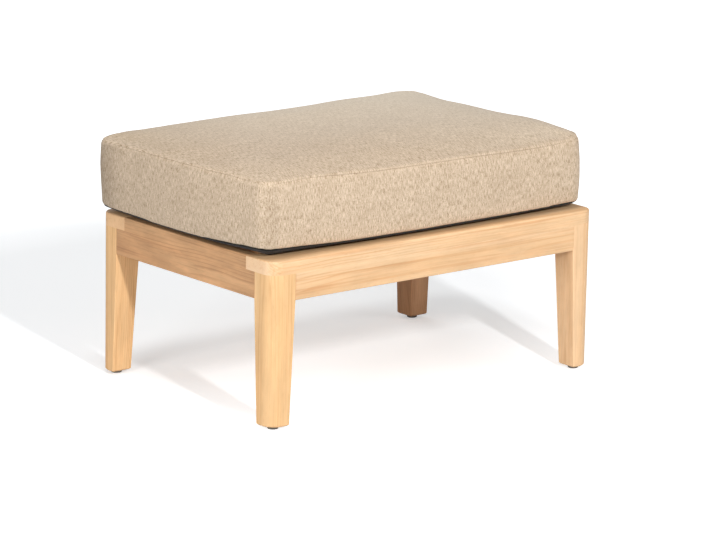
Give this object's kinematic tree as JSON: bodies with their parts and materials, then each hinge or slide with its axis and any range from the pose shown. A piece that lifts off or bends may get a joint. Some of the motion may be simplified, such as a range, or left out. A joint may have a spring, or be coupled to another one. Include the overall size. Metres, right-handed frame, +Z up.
{
  "type": "outdoor ottoman footstool",
  "caption": "Low rectangular outdoor footstool: jointed teak frame with tapered rounded legs, slatted deck and a loose zipped box cushion.",
  "frame": {"origin": "on the floor under the middle of the whole footstool's extents, cushion included", "axes": "+X along the long side to the right as seen from the front, +Y from the front to the back, +Z up"},
  "size_m": [0.7232, 0.493, 0.4238],
  "materials": {
    "teak_frame": "fine sanded, unvarnished teak",
    "teak_rail": "fine sanded, unvarnished teak",
    "teak_slat": "sanded, unvarnished teak",
    "screw_steel": "stainless, dull",
    "glide_nylon": "moulded, matte",
    "cushion_foam": "open-cell foam",
    "cover_weave": "heathered outdoor weave",
    "base_cloth": "dark non-slip cloth",
    "zip_cloth": "woven tape and moulded coil",
    "zip_metal": "plated, satin"
  },
  "bodies": {
    "frame": {"leg_front_left": "teak_frame", "leg_front_right": "teak_frame", "leg_back_left": "teak_frame", "leg_back_right": "teak_frame", "cap_rail_front": "teak_rail", "cap_rail_back": "teak_rail", "apron_front": "teak_frame", "apron_back": "teak_frame", "apron_left": "teak_frame", "apron_right": "teak_frame", "deck_slat_1": "teak_slat", "deck_slat_2": "teak_slat", "deck_slat_3": "teak_slat", "deck_slat_4": "teak_slat", "deck_slat_5": "teak_slat", "deck_slat_6": "teak_slat", "deck_slat_7": "teak_slat", "deck_slat_8": "teak_slat", "slat_batten": "teak_slat", "batten_screw_1": "screw_steel", "batten_screw_2": "screw_steel", "batten_screw_3": "screw_steel", "batten_screw_4": "screw_steel", "batten_screw_5": "screw_steel", "batten_screw_6": "screw_steel", "batten_screw_7": "screw_steel", "batten_screw_8": "screw_steel", "glide_front_left": "glide_nylon", "glide_front_right": "glide_nylon", "glide_back_left": "glide_nylon", "glide_back_right": "glide_nylon"},
    "cushion": {"foam_core": "cushion_foam", "cover_top_panel": "cover_weave", "cover_boxing": "cover_weave", "cover_base_panel": "base_cloth", "zip_tape": "zip_cloth", "zip_coil": "zip_cloth"},
    "zip_slider": {"zip_slider": "zip_metal"},
    "zip_pull": {"zip_pull": "zip_metal"}
  },
  "joints": [
    {"name": "cushion_lift", "type": "slide", "parent": "frame", "child": "cushion", "axis": [0, 0, 1], "range_m": [0, 0.25]},
    {"name": "zip_slide", "type": "slide", "parent": "cushion", "child": "zip_slider", "axis": [-1, 0, 0], "range_m": [0, 0.493]},
    {"name": "zip_pull_turn", "type": "hinge", "parent": "zip_slider", "child": "zip_pull", "pos_m": [0.2467, 0.24421, 0.3455], "axis": [0, 0, -1], "range_deg": [0, 170]}
  ]
}
